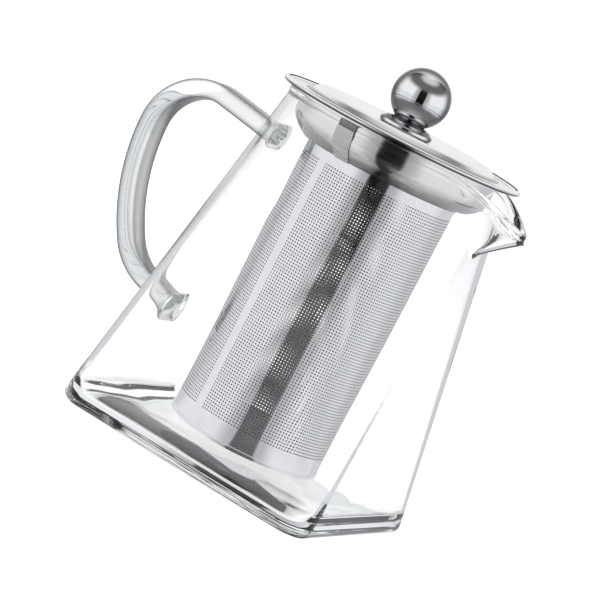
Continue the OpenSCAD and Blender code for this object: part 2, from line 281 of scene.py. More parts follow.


# %% [markdown]
# Four places are painted darker in their colour: the crease round the lid's raised centre and the top of
# the tongue, as painted shade, the underside of the lid's rolled edge, as painted shade where it faces down,
# and the lower part of the band, darker towards its lower edge. It could be painted by hand, but each place is
# a range of one measure, a radius, a height or how far a face looks up, so a ramp over that measure does it.

# %% Darker places, painted
def measure(nodes, links, what):
    if what == "radius":
        place = add_node(nodes, "ShaderNodeTexCoord")
        flatten = add_node(nodes, "ShaderNodeVectorMath", operation="MULTIPLY")
        flatten.inputs[1].default_value = (1.0, 1.0, 0.0)
        links.new(place.outputs["Object"], flatten.inputs[0])
        length = add_node(nodes, "ShaderNodeVectorMath", operation="LENGTH")
        links.new(flatten.outputs[0], length.inputs[0])
        return length.outputs["Value"]
    source = "Object" if what == "height" else "Normal"
    place = add_node(nodes, "ShaderNodeTexCoord")
    apart = add_node(nodes, "ShaderNodeSeparateXYZ")
    links.new(place.outputs[source], apart.inputs[0])
    return apart.outputs[2]


# multiplies a material's colour by a ramp over one measure; below it paints shade and a darker band bottom
def paint_darker(material, what, marks):
    nodes, links = material.node_tree.nodes, material.node_tree.links
    shader = nodes["Principled BSDF"]
    socket = shader.inputs["Base Color"]
    painted = socket.links[0].from_socket
    low, high = marks[0][0], marks[-1][0]
    ramp = nodes.new("ShaderNodeValToRGB")
    points = ramp.color_ramp.elements
    for number, (where, shade) in enumerate([marks[0], marks[-1]] + marks[1:-1]):
        share = (where - low) / (high - low)
        point = points[number] if number < 2 else points.new(share)
        point.position = share
        point.color = (shade, shade, shade, 1.0)
    links.new(spread(nodes, links, measure(nodes, links, what), low, high), ramp.inputs["Fac"])
    both = add_node(nodes, "ShaderNodeVectorMath", operation="MULTIPLY")
    links.new(painted, both.inputs[0])
    links.new(ramp.outputs["Color"], both.inputs[1])
    links.new(both.outputs[0], socket)


# painted shade in the crease round the lid's raised centre
paint_darker(lid_steel, "radius", [(0.0325, 1.0), (0.0334, 0.30), (0.0344, 0.25), (0.0352, 1.0)])
# the band is painted darker towards its lower edge
paint_darker(band_steel, "height", [(0.1086, 0.18), (0.1110, 0.45), (0.1145, 1.0)])
# painted shadow along the top of the tongue, where it leans in
paint_darker(tongue_shaded_steel, "height", [(0.1184, 1.0), (0.1188, 0.22), (0.1212, 0.5)])
# steel of the rolled edge, with painted shade on its down-facing underside
edge_steel = make_brushed("edge_steel", (0.88, 0.88, 0.885), 0.20)
paint_darker(edge_steel, "facing up", [(-1.0, 0.04), (-0.55, 0.06), (-0.15, 0.55), (0.1, 1.0)])


# %% [markdown]
# The knob is turned and polished until it mirrors the room. Only a faint, cloudy smear is left on it, which
# a soft noise in the roughness gives. A ball shows the whole room, and its outline the part behind it, so a
# studio's dark edges end up there. A darker tone towards its outline stands in for them.

# %% Polished steel
SMEARS = 90.0          # size of the cloudy smears
OUTLINE = (0.26, 0.64, 1.0, 0.09)   # from face on to aslant, the steel goes from full to nearly black


def make_polished(name, colour, rough):
    material, nodes, links, shader, output = new_material(name)
    shader.inputs["Metallic"].default_value = 1.0
    place = add_node(nodes, "ShaderNodeTexCoord")
    smear = add_node(nodes, "ShaderNodeTexNoise")
    smear.inputs["Scale"].default_value = SMEARS
    smear.inputs["Detail"].default_value = 4.0
    links.new(place.outputs["Object"], smear.inputs["Vector"])
    haze = spread(nodes, links, smear.outputs["Fac"], 0.0, 1.0, rough * 0.6, rough * 1.5)
    links.new(haze, shader.inputs["Roughness"])
    tone = spread(nodes, links, smear.outputs["Fac"], 0.0, 1.0, 0.97, 1.02)
    aside = add_node(nodes, "ShaderNodeLayerWeight")
    aside.inputs["Blend"].default_value = 0.5
    rim = spread(nodes, links, aside.outputs["Facing"], *OUTLINE, "SMOOTHSTEP")
    paint = scaled(nodes, links, colour, tone)
    links.new(scaled(nodes, links, paint, rim), shader.inputs["Base Color"])
    return material


knob_steel = make_polished("knob_steel", (0.83, 0.84, 0.86), 0.05)


# %% [markdown]
# ## The glass body
# The body is one skin: up the outside from the foot to the rim, over the rounded bead, down the inside and
# across the floor. At every height its outline is a rounded square, and on the way up the flats shrink
# while the corners grow, until only a circle is left at the mouth. So the skin can be pulled up ring by
# ring: a circle is created, its edge is extruded once for each row, and every new ring is set on the
# outline for its height. Each point keeps its own direction in a layer, which the extrusion copies.

# %% The outline of the body
HALF = 48.0            # half the width of the foot
CORNER = 9.0           # radius of the foot's corners
MOUTH = 39.25          # radius of the mouth
TOP = 121.2            # height of the rim
EDGE = 3.5             # height of the foot's rounded edge
BEAD = 3.2             # height of the bead, from where the wall stops to the rim
STRAIGHT = TOP - BEAD
WALL = 2.0
FLOOR = 2.5


def square_radius(turn, flat, corner):
    across, along = abs(math.cos(turn)), abs(math.sin(turn))
    high, low = max(across, along), min(across, along)
    if (flat + corner) * low / high <= flat:
        return (flat + corner) / high
    both = flat * (across + along)
    return both + math.sqrt(max(0.0, corner ** 2 - flat ** 2 * (across - along) ** 2))


def wall_radius(turn, z, inset=0.0):
    up = (min(z, STRAIGHT) - EDGE) / (STRAIGHT - EDGE)
    flat = max((1 - up) * (HALF - CORNER), 0.001)
    corner = (1 - up) * CORNER + up * MOUTH
    return square_radius(turn, flat, corner - inset)


def foot_radius(turn, z):
    drop = EDGE - z
    curl = EDGE * 1.05
    inset = curl - math.sqrt(max(0.0, curl ** 2 - drop ** 2 * 1.1))
    return square_radius(turn, HALF - CORNER, CORNER - inset)


# %% [markdown]
# The lip is pinched out of the hot rim. Seen from above, its two sides leave the mouth's circle as straight
# tangents and meet in a rounded point. Its rim falls as it goes out, and a keel runs up into it from below.

# %% The pinched lip
LIP_REACH = 13.6
LIP_FALL = 0.6
LIP_DEPTH = 22.0
KEEL_TOP = 3.0         # the keel ends this far below the rim
LIP_LATENESS = 1.12    # above 1, the lip opens late on the way up
LIP_ROUND = 3.0        # degrees over which the lip's point is rounded
LIP_FULL = 6.0         # from this far out, the lip's glass has its full extra thickness
LIP_THICKER = 0.32     # that extra, as a share of the wall
LIP_TURN = math.degrees(math.acos(MOUTH / (MOUTH + LIP_REACH)))


def off_lip(turn):
    degrees = math.degrees(turn) % 360.0
    degrees = min(degrees, 360.0 - degrees)
    return math.sqrt(degrees ** 2 + LIP_ROUND ** 2) - LIP_ROUND


def lip_out(turn):
    off = off_lip(turn)
    if off >= LIP_TURN:
        return 0.0
    return MOUTH / math.cos(rad(LIP_TURN - off)) - MOUTH


def rim_height(turn):
    return TOP - LIP_FALL * lip_out(turn)


def lip_share(turn, z):
    keel = TOP - KEEL_TOP - (LIP_DEPTH - KEEL_TOP) * max(0.0, 1.0 - off_lip(turn) / LIP_TURN)
    rise = (z - keel) / max(0.5, rim_height(turn) - BEAD - keel)
    return min(1.0, max(0.0, rise)) ** LIP_LATENESS


# %% [markdown]
# Hand-finished glass is never quite even. The inside of the wall and the top of the floor swell and thin by
# one or two tenths of a millimetre, and behind each end of the handle the hot joint has pushed a low swell
# into the pot. These are what bend the lines that are seen through the glass.

# %% Unevenness and the joints' swells
UPPER_JOINT = ((0.0, 103.0), 9.5, 7.0, 0.3)    # middle, reach both ways, height of the swell
LOWER_JOINT = ((0.0, 29.7), 10.0, 8.5, 0.4)


def swell(y, z, centre, reach_y, reach_z, height):
    away = math.hypot((y - centre[0]) / reach_y, (z - centre[1]) / reach_z)
    if away >= 1.0:
        return 0.0
    return height * (1 - away ** 2) ** 2


def uneven_wall(turn, z):
    slow = math.sin(3 * turn + z / 17.0) + math.sin(7 * turn - z / 11.0 + 1.3)
    quick = math.sin(13 * turn + z / 6.0 + 0.6) * math.sin(5 * turn - z / 9.0)
    low_down = max(0.0, 1.0 - z / 45.0)
    return 0.03 * slow + 0.05 * low_down * quick


def uneven_floor(x, y):
    slow = math.sin(x / 9.0 + 0.4) * math.sin(y / 7.5 + 1.1)
    quick = math.sin((x + y) / 4.6) * math.sin((x - 0.6 * y) / 5.2 + 0.7)
    return 0.16 * slow + 0.07 * quick


# %% [markdown]
# The rows follow. A row is a rule that gives a point for a direction. More rows lie where the shape
# changes quickly: the foot's edge, the lip, the bead and the corner between wall and floor.

# %% The rows of the body
LOW = 88.0             # the wall below this height carries no lip
FLOOR_FLAT = HALF - CORNER - 1     # flats and corner of the floor's outline
FLOOR_CORNER = CORNER - WALL + 1
FLOOR_INSET = 4.8      # the floor is level from here inwards


def outer_foot(z):
    return lambda turn: (foot_radius(turn, z), z)


def outer_wall(z):
    return lambda turn: (wall_radius(turn, z), z)


def lip_height(turn, share):
    return LOW + (rim_height(turn) - BEAD - LOW) * share


def outer_lip(share):
    def row(turn):
        z = lip_height(turn, share)
        return wall_radius(turn, z) + lip_out(turn) * lip_share(turn, z), z
    return row


def bead(angle):
    middle, reach, rise = -1.0, 1.25, 1.25
    across = middle + reach * math.cos(angle)
    above = -rise + rise * math.sin(angle)

    def row(turn):
        thicker = 0.3 * min(1.0, lip_out(turn) / LIP_FULL) * min(1.0, max(0.0, -across - 0.6))
        return MOUTH + lip_out(turn) + across - thicker, rim_height(turn) + above
    return row


def inner_lip(share):
    def row(turn):
        z = lip_height(turn, share)
        thick = WALL * (1 + LIP_THICKER * min(1.0, lip_out(turn) / LIP_FULL) * lip_share(turn, z))
        radius = wall_radius(turn, z) + lip_out(turn) * lip_share(turn, z) - thick
        y = radius * math.sin(turn)
        inward = swell(y, z, *UPPER_JOINT) if math.cos(turn) < 0 else 0.0
        return radius - inward, z
    return row


def inner_wall(z):
    def row(turn):
        radius = wall_radius(turn, z, WALL + uneven_wall(turn, z))
        y = radius * math.sin(turn)
        inward = 0.0
        if math.cos(turn) < 0:
            inward = swell(y, z, *UPPER_JOINT) + swell(y, z, *LOWER_JOINT)
        return radius - inward, z
    return row


def floor_row(inset, rise):
    def row(turn):
        corner = max(1.2, FLOOR_CORNER - inset)
        return square_radius(turn, FLOOR_FLAT, corner), FLOOR + rise
    return row


def floor_disc(share):
    def row(turn):
        radius = square_radius(turn, FLOOR_FLAT, FLOOR_CORNER - FLOOR_INSET) * share
        bump = uneven_floor(radius * math.cos(turn), radius * math.sin(turn))
        return radius, FLOOR + bump * min(1.0, 4 * (1.0 - share))
    return row


def steps(first, last, count):
    return [first + (last - first) * i / count for i in range(count + 1)]


rows = [outer_foot(z) for z in (0.0, 0.25, 0.7, 1.3, 2.0, 2.8, EDGE)]
rows += [outer_wall(z) for z in steps(6.0, 84.0, 18)]
rows += [outer_lip(share) for share in steps(0.0, 1.0, 22)]
bead_angles = (-38, -22, -6, 12, 30, 50, 70, 90, 110, 130, 150, 170, 188, 204, 218)
rows += [bead(rad(a)) for a in bead_angles]
rows += [inner_lip(share) for share in steps(1.0, 0.0, 22)]
rows += [inner_wall(z) for z in steps(86.0, 13.0, 34)]
inner_corner = ((0.3, 7.0), (0.45, 5.0), (0.9, 3.0), (1.4, 1.9), (2.1, 1.0), (3.2, 0.35))
rows += [floor_row(*pair) for pair in inner_corner]
rows += [floor_disc(share) for share in steps(1.0, 0.06, 22)]
print("rows of the body:", len(rows))


# %% [markdown]
# With the rules ready, the pulling is short. An extrusion of an edge ring gives back what it made, and the
# new vertices and the edges between them are the next ring. The circle's own cap becomes the underside, and
# the last ring is closed with one face in the middle of the floor.

# %% Pull the body up ring by ring
AROUND = 256


def extrude_ring(bm, edges):
    grown = bmesh.ops.extrude_edge_only(bm, edges=edges)["geom"]
    fresh = [g for g in grown if isinstance(g, bmesh.types.BMVert)]
    new = set(fresh)
    ring = [g for g in grown if isinstance(g, bmesh.types.BMEdge) and set(g.verts) <= new]
    return fresh, ring


def place_ring(verts, layer, row):
    for vert in verts:
        turn = vert[layer]
        radius, z = row(turn)
        vert.co = (radius * math.cos(turn), radius * math.sin(turn), z)


def pull_rings(rows, around):
    bm = bmesh.new()
    layer = bm.verts.layers.float.new("turn")
    bmesh.ops.create_circle(bm, cap_ends=True, segments=around, radius=10.0)
    for vert in bm.verts:
        plain = math.atan2(vert.co.y, vert.co.x)
        vert[layer] = plain + 0.15 * math.sin(4 * plain)
    place_ring(bm.verts, layer, rows[0])
    edge = list(bm.edges)
    for row in rows[1:]:
        fresh, edge = extrude_ring(bm, edge)
        place_ring(fresh, layer, row)
    bmesh.ops.contextual_create(bm, geom=edge)
    return bm


make_piece(pull_rings(rows, AROUND), "body_skin", "pot", "glass_body", body_glass,
           crease=ROUND_CREASE, merge=False)

# %% [markdown]
# ## The handle
# The handle is a flattened glass bar bent while hot. It leaves the wall in a short straight run, turns down
# in a tight bend, sweeps round in a wide one and comes back to the wall in a third. A spin of the bar's
# section about each bend's centre makes it, with a straight extrusion at both ends. The ends are pressed
# onto the wall, so they spread a little there. The wide bend's radius isn't chosen: it is the one that brings
# the bar back to the wall at the height of the lower joint.

# %% The handle's route
BAR_THICK = 6.4
BAR_WIDE = 14.0
LEAN = (HALF - MOUTH) / (STRAIGHT - EDGE)
RUN = 20.0
BEND_RADII = (18.5, None, 22.0)
HEADINGS = (172.0, 270.0, 304.0, 344.0)
HIGH_END = 0.85 * TOP
LOW_END = 0.245 * TOP


def heading(degrees):
    return Vector((math.cos(rad(degrees)), math.sin(rad(degrees))))


def left_of(degrees):
    return heading(degrees + 90.0)


def face_at(z):
    return -(HALF - LEAN * (z - EDGE))


start = Vector((face_at(HIGH_END), HIGH_END))
bend_from = start + RUN * heading(HEADINGS[0])
centre_1 = bend_from + BEND_RADII[0] * left_of(HEADINGS[0])
after_1 = centre_1 - BEND_RADII[0] * left_of(HEADINGS[1])
dx_3 = BEND_RADII[2] * (math.sin(rad(HEADINGS[3])) - math.sin(rad(HEADINGS[2])))
dz_3 = BEND_RADII[2] * (math.cos(rad(HEADINGS[2])) - math.cos(rad(HEADINGS[3])))
slope_3 = math.tan(rad(HEADINGS[3] - 360.0))
gain_x = 1 + math.sin(rad(HEADINGS[2]))
gain_z = math.cos(rad(HEADINGS[2]))
fall = after_1.y + dz_3 + slope_3 * (face_at(LOW_END) - after_1.x - dx_3) - LOW_END
wide = fall / (gain_z - slope_3 * gain_x)
centre_2 = after_1 + wide * left_of(HEADINGS[1])
after_2 = centre_2 - wide * left_of(HEADINGS[2])
centre_3 = after_2 + BEND_RADII[2] * left_of(HEADINGS[2])
after_3 = centre_3 - BEND_RADII[2] * left_of(HEADINGS[3])
last_run = (face_at(LOW_END) - after_3.x) / math.cos(rad(HEADINGS[3]))
print(f"wide bend {wide:.1f} mm, last run {last_run:.1f} mm")


# %% Bend the bar
def lift(flat):
    return Vector((flat.x, 0.0, flat.y))


def bar_ring(bm, centre, degrees, thick, wide_by, sides=16):
    bmesh.ops.create_circle(bm, cap_ends=False, segments=2 * sides, radius=thick / 2)
    ring = list(bm.verts)
    for vert in ring:
        vert.co.y += math.copysign((wide_by - thick) / 2, vert.co.y + 1e-6)
    out, side = lift(left_of(degrees)), Vector((0, 1, 0))
    for vert in ring:
        vert.co = lift(centre) + out * vert.co.x + side * vert.co.y
    return ring, list(bm.edges)


def grow(bm, edges, shift):
    fresh, ring = extrude_ring(bm, edges)
    bmesh.ops.translate(bm, vec=shift, verts=fresh)
    return fresh, ring


def turn_bar(bm, edges, verts, centre, degrees, count):
    swept = bmesh.ops.spin(bm, geom=verts + edges, cent=lift(centre), axis=(0, -1, 0), dvec=(0, 0, 0),
                           angle=rad(degrees), steps=count, use_merge=False, use_duplicate=False)
    last = swept["geom_last"]
    return ([g for g in last if isinstance(g, bmesh.types.BMVert)],
            [g for g in last if isinstance(g, bmesh.types.BMEdge)])


def widen(verts, degrees, more):
    out, side = lift(left_of(degrees)), Vector((0, 1, 0))
    middle = sum((v.co for v in verts), Vector()) / len(verts)
    for vert in verts:
        away = vert.co - middle
        across, beside = away.dot(out), away.dot(side)
        across *= 1 + more / BAR_THICK
        beside *= 1 + 0.6 * more / BAR_WIDE
        vert.co = middle + out * across + side * beside


def press_on_wall(verts, degrees, deep=0.2):
    along = lift(heading(degrees))
    for vert in verts:
        gap = -(vert.co.x + HALF - LEAN * (vert.co.z - EDGE) - deep) / (along.x - LEAN * along.z)
        vert.co += along * gap


def end_run(bm, verts, edges, degrees, distances, extras):
    along = lift(heading(degrees))
    gone = 0.0
    wider = []
    for distance, extra in zip(distances, extras):
        verts, edges = grow(bm, edges, along * (distance - gone))
        gone = distance
        wider.append((verts, extra))
    for verts_at, extra in wider:
        widen(verts_at, degrees, extra)
    press_on_wall(verts, degrees)
    bmesh.ops.contextual_create(bm, geom=edges)


bar = bmesh.new()
ring, ring_edges = bar_ring(bar, bend_from, HEADINGS[0], BAR_THICK, BAR_WIDE)
low_verts, low_edges = turn_bar(bar, ring_edges, ring, centre_1, HEADINGS[1] - HEADINGS[0], 26)
low_verts, low_edges = turn_bar(bar, low_edges, low_verts, centre_2, HEADINGS[2] - HEADINGS[1], 18)
low_verts, low_edges = turn_bar(bar, low_edges, low_verts, centre_3, HEADINGS[3] - HEADINGS[2], 14)
end_run(bar, low_verts, low_edges, HEADINGS[3],
        [last_run - d for d in (6.0, 4.2, 3.0, 2.1, 1.3, 0.7, 0.3, 0.0)],
        [0.0, 0.25, 0.8, 1.7, 3.0, 3.9, 4.3, 4.4])
end_run(bar, ring, ring_edges, HEADINGS[0] + 180.0,
        [RUN - d for d in (12.0, 5.0, 3.6, 2.4, 1.5, 0.9, 0.4, 0.0)],
        [0.0, 0.0, 0.15, 0.7, 1.5, 2.1, 2.6, 2.8])
make_piece(bar, "handle_bar", "pot", "handle", bar_glass, crease=ROUND_CREASE)

# %% [markdown]
# ## The infuser's perforated tube
# The tube is rolled from stock sheet with half-millimetre holes one millimetre apart, in straight rows. It
# has a plain margin at both ends and a plain strip at its seam. The holes are real: a flat grid with one
# square for each hole, each square inset, the middle taken out and the corners cut off so that the hole is
# round. The flat sheet is then rolled round the axis and given its thickness. Painted holes would be a
# smaller mesh, but real ones let the far side be seen through them. The inside of the tube and the walls of
# the holes take a darker copy of the steel, as painted shade, a choice that makes the holes read dark. The tube
# is made as five panels, so that no piece gets too heavy.

# %% Punch and roll one panel
TUBE = 26.5
SHEET = 0.4
SEAM_AT = rad(-114.0)
SEAM_HALF = 1.6
HOLES_LOW, HOLES_HIGH = 16.7, 105.1
TUBE_LOW, TUBE_HIGH = 10.3, 109.1
PANELS = 5
HOLE = 0.27            # half the width of a hole
CORNER_CUT = 0.586     # of half the width: it makes a square a regular octagon


def face_outwards(bm):
    bm.normal_update()
    wrong = [f for f in bm.faces if f.normal.dot(f.calc_center_median() * Vector((1, 1, 0))) < 0]
    bmesh.ops.reverse_faces(bm, faces=wrong)


def give_thickness(piece, thick):
    solid = piece.modifiers.new("sheet", "SOLIDIFY")
    solid.thickness = thick * MM
    solid.offset = -1.0
    return solid


def lay_grid(bm, across, up, x_range, z_range):
    made = bmesh.ops.create_grid(bm, x_segments=across, y_segments=up, size=0.5)["verts"]
    for vert in made:
        x = x_range[0] + (vert.co.x + 0.5) * (x_range[1] - x_range[0])
        z = z_range[0] + (vert.co.y + 0.5) * (z_range[1] - z_range[0])
        vert.co = (x, 0.0, z)


def roll_up(bm, radius):
    for vert in bm.verts:
        turn = SEAM_AT + vert.co.x / TUBE
        vert.co = (radius * math.cos(turn), radius * math.sin(turn), vert.co.z)


def punched_sheet(along, x_range):
    pitch = (x_range[1] - x_range[0]) / along
    up = round((HOLES_HIGH - HOLES_LOW) / pitch)
    bm = bmesh.new()
    lay_grid(bm, along, up, x_range, (HOLES_LOW, HOLES_HIGH))
    bm.normal_update()
    cells = list(bm.faces)
    bmesh.ops.inset_individual(bm, faces=cells, thickness=pitch / 2 - HOLE, use_even_offset=True)
    corners = {v for f in cells for v in f.verts}
    bmesh.ops.delete(bm, geom=cells, context="FACES_ONLY")
    inner = [v for v in corners if v.is_valid]
    bmesh.ops.bevel(bm, geom=inner, offset=HOLE * CORNER_CUT, offset_type="OFFSET", segments=1, profile=0.5,
                    affect="VERTICES", material=-1, clamp_overlap=True)
    return bm


flat_from, flat_to = SEAM_HALF, math.tau * TUBE - SEAM_HALF
holes_round = round(flat_to - flat_from)
per_panel = holes_round // PANELS
pitch_round = (flat_to - flat_from) / (per_panel * PANELS)
print(f"{per_panel * PANELS} holes round, pitch {pitch_round:.3f} mm")


def make_panel(number):
    from_x = flat_from + number * per_panel * pitch_round
    x_range = (from_x, from_x + per_panel * pitch_round)
    bm = punched_sheet(per_panel, x_range)
    lay_grid(bm, per_panel, 1, x_range, (TUBE_LOW, HOLES_LOW))
    lay_grid(bm, per_panel, 1, x_range, (HOLES_HIGH, TUBE_HIGH))
    if number == 0:
        lay_grid(bm, 4, 1, (-SEAM_HALF, SEAM_HALF), (TUBE_LOW, TUBE_HIGH))
    bmesh.ops.remove_doubles(bm, verts=bm.verts, dist=2 * SAME_SPOT)
    roll_up(bm, TUBE)
    face_outwards(bm)
    panel = make_piece(bm, f"tube_panel_{number + 1}", "infuser", "mesh_tube", tube_steel,
                       crease=30.0, recalc=False, merge=False, sharp_rims=True)
    solid = give_thickness(panel, SHEET)
    panel.data.materials.append(tube_inside_shaded)
    solid.material_offset = 1
    solid.material_offset_rim = 1


for number in range(PANELS):
    make_panel(number)

# %% [markdown]
# ## The infuser's neck, band and bottom
# The neck is drawn from one disc: a flat flange that rests on the rim, a straight part inside the mouth and
# a taper down to the tube. All of it is one section, spun. Its curves have to agree with the band outside
# it, so both come from the same line, offset.

# %% Neck
NECK = 34.5
THIN = 0.6
NECK_LOW = 28.3        # radius at the neck's lower edge
TAPER = 7.0            # height of the rounded part
Z_STRAIGHT = TOP - 5.4
Z_LOW = Z_STRAIGHT - TAPER


def neck_line(out, count=24):
    line = []
    for u in steps(0.0, 1.0, count):
        slope = -(NECK - NECK_LOW) * (0.1 + 1.8 * u)
        length = math.hypot(slope, TAPER)
        radius = NECK - (NECK - NECK_LOW) * (0.1 * u + 0.9 * u * u)
        line.append((radius + out * TAPER / length, Z_STRAIGHT - TAPER * u + out * slope / length))
    return line


neck_points = [(39.38, TOP + 0.02), (NECK + 0.35, TOP + 0.02), (NECK + 0.08, TOP - 0.1), (NECK, TOP - 0.5)]
neck_points += neck_line(0.0) + [(NECK_LOW - 0.25, Z_LOW - 0.2), (NECK_LOW - 0.7, Z_LOW - 0.36)]
neck_points += [(NECK_LOW - 1.2, Z_LOW - 0.4), (TUBE + 0.02, Z_LOW - 0.4), (TUBE + 0.02, Z_LOW + 0.2)]
neck_points += [(NECK_LOW - 1.2, Z_LOW + 0.2)] + neck_line(-THIN)[::-1]
neck_points += [(NECK - THIN, TOP - 0.2), (NECK - THIN + 0.12, TOP + 0.35), (NECK - THIN + 0.45, TOP + THIN)]
neck_points += [(39.2, TOP + THIN), (39.38, TOP + THIN - 0.2)]
make_piece(spin_section(neck_points), "neck_shell", "infuser", "infuser_neck", neck_steel)

# %% [markdown]
# The band is a thin strip sprung round the neck, following it down to its lower edge. It is open at the
# front, where its ends leave a narrow gap that is widest a little below the top. Beside the gap a tongue is
# pressed out of it, and the top of the tongue leans in. Band and tongue are grids laid on the neck's line:
# columns go round, rows go down, and the gap is simply where the columns start and end.

# %% Spring band
BAND_OUT = 0.4         # outside of the band, beyond the neck
TONGUE_OUT = 0.75
TONGUE_TOP = TOP - 2.5
GAP_AT = rad(-91.1)
TONGUE_TURN = 6.6 / NECK


def half_gap(z):
    if z > TONGUE_TOP:
        return 0.25 + 0.35 * (TOP - z) / (TOP - TONGUE_TOP)
    share = (z - Z_STRAIGHT + 0.5) / (TONGUE_TOP - Z_STRAIGHT + 0.5)
    return 0.12 + 0.48 * max(0.0, share)


def band_profile(out, top):
    straight = [(NECK + out, top + (Z_STRAIGHT - top) * i / 8) for i in range(8)]
    return straight + neck_line(out)


def lay_strip(profile, across, from_turn, to_turn):
    bm = bmesh.new()
    bmesh.ops.create_grid(bm, x_segments=across, y_segments=len(profile) - 1, size=0.5)
    for vert in bm.verts:
        radius, z = profile[round((0.5 - vert.co.y) * (len(profile) - 1))]
        first, last = from_turn(radius, z), to_turn(radius, z)
        turn = first + (last - first) * (vert.co.x + 0.5)
        vert.co = (radius * math.cos(turn), radius * math.sin(turn), z)
    face_outwards(bm)
    return bm


def finish_strip(bm, name, thick, material):
    piece = make_piece(bm, name, "infuser", "spring_band", material, recalc=False,
                       sharp_rims=True)
    give_thickness(piece, thick)


band_mesh = lay_strip(band_profile(BAND_OUT, TOP - 0.15), 220, lambda r, z: GAP_AT + half_gap(z) / r,
                      lambda r, z: GAP_AT + math.tau - half_gap(z) / r)
finish_strip(band_mesh, "neck_band", 0.35, band_steel)

tongue_profile = [(NECK + BAND_OUT + 0.03, TOP - 0.2), (NECK + 0.62, TOP - 1.3)]
tongue_profile += band_profile(TONGUE_OUT, TONGUE_TOP)
tongue_mesh = lay_strip(tongue_profile, 14, lambda r, z: GAP_AT - TONGUE_TURN - 0.004,
                        lambda r, z: GAP_AT - half_gap(z) / r)
finish_strip(tongue_mesh, "band_tongue", 0.33, tongue_shaded_steel)

# %% [markdown]
# The tube's lower end is closed by a shallow pressed cap, crimped on from outside. It could be a disc, but its
# rounded edge is what is seen, as a fine line round the end. So it is a thin section too, open at the axis,
# where the spin closes it.

# %% Bottom cap
CAP_LOW = 9.6
cap_rises = [(0.0, 0.35), (18.0, 0.35), (20.5, 0.2), (TUBE - 1.4, 0.0), (TUBE - 0.2, 0.12), (TUBE + 0.2, 0.5),
             (TUBE + 0.38, 0.9), (TUBE + 0.38, 1.25), (TUBE + 0.28, 1.4), (TUBE + 0.02, 1.4),
             (TUBE + 0.02, 0.62), (TUBE - 1.4, 0.6), (20.5, 0.75), (18.0, 0.9), (0.0, 0.9)]
cap_points = [(radius, CAP_LOW + rise) for radius, rise in cap_rises]
make_piece(spin_section(cap_points, closed=False), "bottom_cap", "infuser", "infuser_bottom",
           neck_steel)

# %% [markdown]
# ## The lid
# The lid is pressed from sheet: a flat that reaches over the mouth to a rolled edge, a raised ring with a
# soft shoulder and a dished centre that the knob stands in. It is two closed sections, each spun: the pressing,
# and the rolled edge as a piece of its own, because the underside of the roll carries painted shade.

# %% Lid
LID_Z = TOP + THIN
LID_THICK = 0.8
LID = 42.5
ROLL = 0.9
ROLL_SHEET = 0.5
LID_TURNS = 200
RISE = 2.6
DISH = 1.5
SHOULDER = NECK - 0.1
CREST = SHOULDER - 4.0
KNOB_FLAT = 11.0
DISH_Z = LID_Z + LID_THICK + RISE - DISH


def eased(first, last, low, high, count):
    spots = []
    for u in steps(0.0, 1.0, count):
        soft = u * u * (3 - 2 * u)
        spots.append((first + (last - first) * u, low + (high - low) * soft))
    return spots


def arc(centre, reach, degrees):
    return [(centre[0] + reach * math.cos(rad(a)), centre[1] + reach * math.sin(rad(a))) for a in degrees]


top_line = eased(SHOULDER, CREST, LID_Z + LID_THICK, LID_Z + LID_THICK + RISE, 14)
top_line += eased(CREST, KNOB_FLAT, LID_Z + LID_THICK + RISE, DISH_Z, 18)[1:]
roll_middle = (LID - ROLL, LID_Z - 0.1 + ROLL)
roll_line = arc(roll_middle, ROLL, range(112, -185, -12))
roll_inside = arc(roll_middle, ROLL - ROLL_SHEET, range(-184, 113, 24))
under = [(r - 0.1, z - LID_THICK) for r, z in top_line]
brim = [(LID - 2 * ROLL - 0.9, LID_Z + LID_THICK + 0.06), (LID - 2 * ROLL - 0.3, LID_Z + LID_THICK + 0.16)]
lid_points = [(2.1, DISH_Z - LID_THICK), (2.1, DISH_Z)] + top_line[::-1] + brim
lid_points += [(LID - 2 * ROLL + 0.25, LID_Z + LID_THICK + 0.5), (LID - 2 * ROLL + 0.25, LID_Z + 0.02)]
lid_points += [(LID - 2 * ROLL - 0.6, LID_Z)] + under
make_piece(spin_section(lid_points, steps=LID_TURNS), "lid_pressing", "lid", "lid_shell",
           lid_steel)
make_piece(spin_section(roll_line + roll_inside, steps=LID_TURNS), "lid_rolled_edge", "lid", "lid_shell",
           edge_steel)

# %% [markdown]
# A plain ring under the lid keeps it in the middle of the neck. It is rolled from strip, so its section is a
# thin upright rectangle with its lower corners taken off.

# %% Locating ring
RING = 32.4
ring_low = LID_Z - 6.0
ring_points = [(RING - THIN, LID_Z), (RING, LID_Z), (RING, ring_low + 0.2), (RING - 0.2, ring_low)]
ring_points += [(RING - THIN + 0.15, ring_low), (RING - THIN, ring_low + 0.15)]
make_piece(spin_section(ring_points), "locating_ring", "lid", "lid_ring", ring_steel)

# %% [markdown]
# ## The knob
# A mirror-bright ball stands on a flared foot with a narrow neck between them. Both are turned parts. The
# ball is spun from an arc that starts at the flat where it meets the neck, and a screw comes up from below
# the lid through the foot.

# %% Foot of the knob
FOOT = 9.25
FOOT_H = 3.75
BALL = 9.85
foot_points = [(2.1, DISH_Z), (FOOT * 0.84, DISH_Z)]
foot_points += [(FOOT - 1 + math.cos(rad(a)), DISH_Z + 1.15 + 1.1 * math.sin(rad(a)))
                for a in range(-80, 81, 10)]
flare = [(0.885, 2.45), (0.85, 2.7), (0.81, 2.95), (0.76, 3.19), (0.71, 3.36), (0.66, 3.48), (0.62, 3.54),
         (0.6, 3.6), (0.58, FOOT_H)]
foot_points += [(FOOT * share, DISH_Z + rise) for share, rise in flare] + [(2.1, DISH_Z + FOOT_H)]
make_piece(spin_section(foot_points), "knob_foot", "lid", "knob_base", knob_steel,
           crease=ROUND_CREASE)

